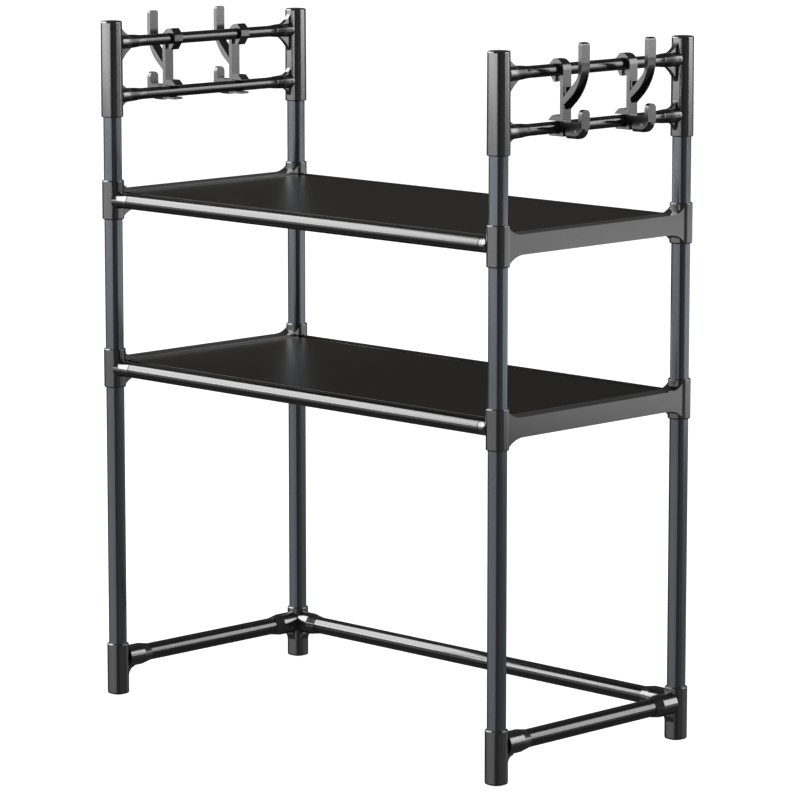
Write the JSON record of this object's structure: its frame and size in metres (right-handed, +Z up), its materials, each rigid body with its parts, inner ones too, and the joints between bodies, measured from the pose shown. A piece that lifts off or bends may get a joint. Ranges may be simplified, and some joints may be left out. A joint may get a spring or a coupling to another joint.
{
  "type": "microwave rack",
  "caption": "Free-standing kitchen rack: tube posts in moulded sleeves carry open shelves over an oven bay, with railed ends and sliding side hooks.",
  "frame": {"origin": "on the floor under the middle of the rack", "axes": "+X to the right along the width, -Y is the open front, +Z up"},
  "size_m": [0.655, 0.3001, 0.753],
  "materials": {
    "post_paint": "satin blue-grey powder coat on steel tube",
    "rail_paint": "black powder coat with a satin shine on steel tube",
    "board_paint": "fine-textured matt black powder coat on folded sheet steel",
    "connector_plastic": "dark grey moulded plastic with a satin skin",
    "hook_plastic": "dark grey moulded plastic, smooth",
    "pin_steel": "bright steel pin with a turned end",
    "pad_rubber": "matt black rubber"
  },
  "bodies": {
    "rack": {"base_tube_back": "rail_paint", "base_tube_left": "rail_paint", "base_tube_right": "rail_paint", "foot_back_left": "connector_plastic", "foot_back_right": "connector_plastic", "foot_front_left": "connector_plastic", "foot_front_right": "connector_plastic", "foot_pad_back_left": "pad_rubber", "foot_pad_back_right": "pad_rubber", "foot_pad_front_left": "pad_rubber", "foot_pad_front_right": "pad_rubber", "lower_end_frame_left": "connector_plastic", "lower_end_frame_right": "connector_plastic", "lower_post_back_left": "post_paint", "lower_post_back_right": "post_paint", "lower_post_front_left": "post_paint", "lower_post_front_right": "post_paint", "lower_rail_back": "rail_paint", "lower_rail_front": "rail_paint", "lower_shelf_board": "board_paint", "middle_post_back_left": "post_paint", "middle_post_back_right": "post_paint", "middle_post_front_left": "post_paint", "middle_post_front_right": "post_paint", "side_rail_lower_left": "rail_paint", "side_rail_lower_right": "rail_paint", "side_rail_upper_left": "rail_paint", "side_rail_upper_right": "rail_paint", "top_sleeve_back_left": "connector_plastic", "top_sleeve_back_right": "connector_plastic", "top_sleeve_front_left": "connector_plastic", "top_sleeve_front_right": "connector_plastic", "upper_end_frame_left": "connector_plastic", "upper_end_frame_right": "connector_plastic", "upper_post_back_left": "post_paint", "upper_post_back_right": "post_paint", "upper_post_front_left": "post_paint", "upper_post_front_right": "post_paint", "upper_rail_back": "rail_paint", "upper_rail_front": "rail_paint", "upper_shelf_board": "board_paint"},
    "hook_left_front": {"hook_left_front": "hook_plastic", "cradle_pin_left_front": "pin_steel"},
    "hook_left_back": {"hook_left_back": "hook_plastic", "cradle_pin_left_back": "pin_steel"},
    "hook_right_front": {"hook_right_front": "hook_plastic", "cradle_pin_right_front": "pin_steel"},
    "hook_right_back": {"hook_right_back": "hook_plastic", "cradle_pin_right_back": "pin_steel"}
  },
  "joints": [
    {"name": "hook_left_front_slide", "type": "slide", "parent": "rack", "child": "hook_left_front", "axis": [0, 1, 0], "range_m": [-0.038, 0.04]},
    {"name": "hook_left_back_slide", "type": "slide", "parent": "rack", "child": "hook_left_back", "axis": [0, 1, 0], "range_m": [-0.04, 0.038]},
    {"name": "hook_right_front_slide", "type": "slide", "parent": "rack", "child": "hook_right_front", "axis": [0, 1, 0], "range_m": [-0.038, 0.04]},
    {"name": "hook_right_back_slide", "type": "slide", "parent": "rack", "child": "hook_right_back", "axis": [0, 1, 0], "range_m": [-0.04, 0.038]}
  ]
}
